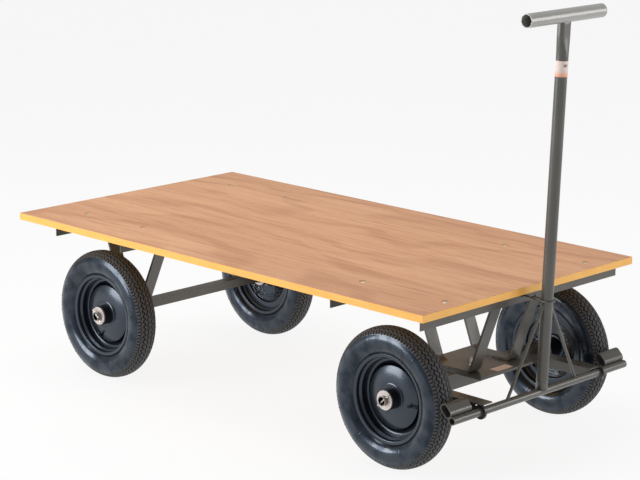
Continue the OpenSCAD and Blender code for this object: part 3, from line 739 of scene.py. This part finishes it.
skin = foot + s[..., None] * pole_axis + along_y[..., None] * (0, 1, 0) + along_x[..., None] * pole_side
ends = [np.repeat(skin.mean(1, keepdims=True)[i], POLE_SIDES, 0)[None] for i in (0, -1)]
pole = build("visual_handle_tube", [(np.concatenate([ends[0], skin, ends[1]]), False, True)], paint, "handle")
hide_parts("handle_tube")
print("handle tube", round(pole_length, 3), "m long")

# %% Keeper ring
def keeper_ring(wire=0.0025, front_r=0.0175, back_r=0.0060):
    """Two arcs joined by their outer tangents, whose ends stand at acos(-(R - r) / distance) from +X."""
    low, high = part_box("keeper_loop")
    level = low.z + wire
    front, back = high.x - front_r - wire, low.x + back_r + wire
    tangent = math.acos(-(front_r - back_r) / (front - back))
    a = np.linspace(-tangent, tangent, 48)[:, None]
    b = np.linspace(tangent, TURN - tangent, 20)[:, None]
    line = np.linspace(0, 1, 14)[1:-1, None]
    front_arc = np.array((front, 0)) + front_r * np.concatenate([np.cos(a), np.sin(a)], 1)
    back_arc = np.array((back, 0)) + back_r * np.concatenate([np.cos(b), np.sin(b)], 1)
    flat = np.concatenate([front_arc, front_arc[-1] + line * (back_arc[0] - front_arc[-1]), back_arc,
                           back_arc[-1] + line * (front_arc[0] - back_arc[-1])])
    path = np.concatenate([flat, np.full((len(flat), 1), level)], 1)
    thumb = [(0, 0), (0, wire), (0.0070, wire), (0.0078, wire * 0.7), (0.0080, 0)]
    tab = lathe(thumb, (back, back_r, level), (0, 0, 1), turns=20)
    ring = build("visual_keeper_loop", [(sweep(path, wire, (0, 0, 1), 14, closed=True), True, True),
                                        (tab, True, False)], paint, "handle")
    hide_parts("keeper_loop")


keeper_ring()

# %% [markdown]
# ## The studio
# A pale floor runs far past the picture's edges. Like lit paper it gives off most of its own light, so
# shadows stay faint. The room is a mid grey, which leaves dark cores in tubes and enamel, and the softboxes
# lay long highlights beside them.

# %% Floor, light and camera
bpy.ops.mesh.primitive_plane_add(size=60.0)
floor = bpy.context.object
floor.name = "floor"
floor_look = Look("pale_floor", Roughness=0.9, Emission_Color=(1, 1, 1, 1), Emission_Strength=0.875)
floor_tone = floor_look.mix(floor_look.noise(0.5, 2), (0.055, 0.055, 0.055), (0.065, 0.065, 0.065))
floor_look.feed(Base_Color=floor_tone)
floor.data.materials.append(floor_look.material)

world = bpy.data.worlds.new("studio")
bpy.context.scene.world = world
world.use_nodes = True
world.node_tree.nodes["Background"].inputs["Color"].default_value = (1.0, 1.0, 1.0, 1)
world.node_tree.nodes["Background"].inputs["Strength"].default_value = 0.40


def softbox(name, place, target, size, power, tint=(1, 1, 1)):
    """A square area light that faces a point."""
    data = bpy.data.lights.new(name, "AREA")
    data.size, data.energy, data.color = size, power, tint
    light = bpy.data.objects.new(name, data)
    light.location = place
    light.rotation_euler = (Vector(target) - Vector(place)).to_track_quat("-Z", "Y").to_euler()
    bpy.context.scene.collection.objects.link(light)


softbox("top_box", (-0.6, -0.4, 3.6), (0.1, 0, 0.3), 2.5, 90)
softbox("right_box", (3.5, 2.5, 1.5), (0.4, 0, 0.3), 1.8, 55)
softbox("left_box", (-1.8, -3.1, 1.25), (0.3, -0.2, 0.2), 1.7, 88)

camera_data = bpy.data.cameras.new("camera")
camera_data.lens = 121.07
camera_data.shift_x, camera_data.shift_y = -0.0719, -0.0167
camera = bpy.data.objects.new("camera", camera_data)
yaw, pitch, roll = math.radians(133.46), math.radians(-13.206), math.radians(0.446)
ahead = Vector((math.cos(yaw) * math.cos(pitch), math.sin(yaw) * math.cos(pitch), math.sin(pitch)))
right = ahead.cross(Vector((0, 0, 1))).normalized()
up = right.cross(ahead)
rolled_right = math.cos(roll) * right + math.sin(roll) * up
rolled_up = math.cos(roll) * up - math.sin(roll) * right
turned = Matrix((rolled_right, rolled_up, -ahead)).transposed().to_4x4()
camera.matrix_world = Matrix.Translation((3.8886, -3.9513, 1.7567)) @ turned
bpy.context.scene.collection.objects.link(camera)
bpy.context.scene.camera = camera
bpy.context.scene.view_settings.view_transform = "Standard"
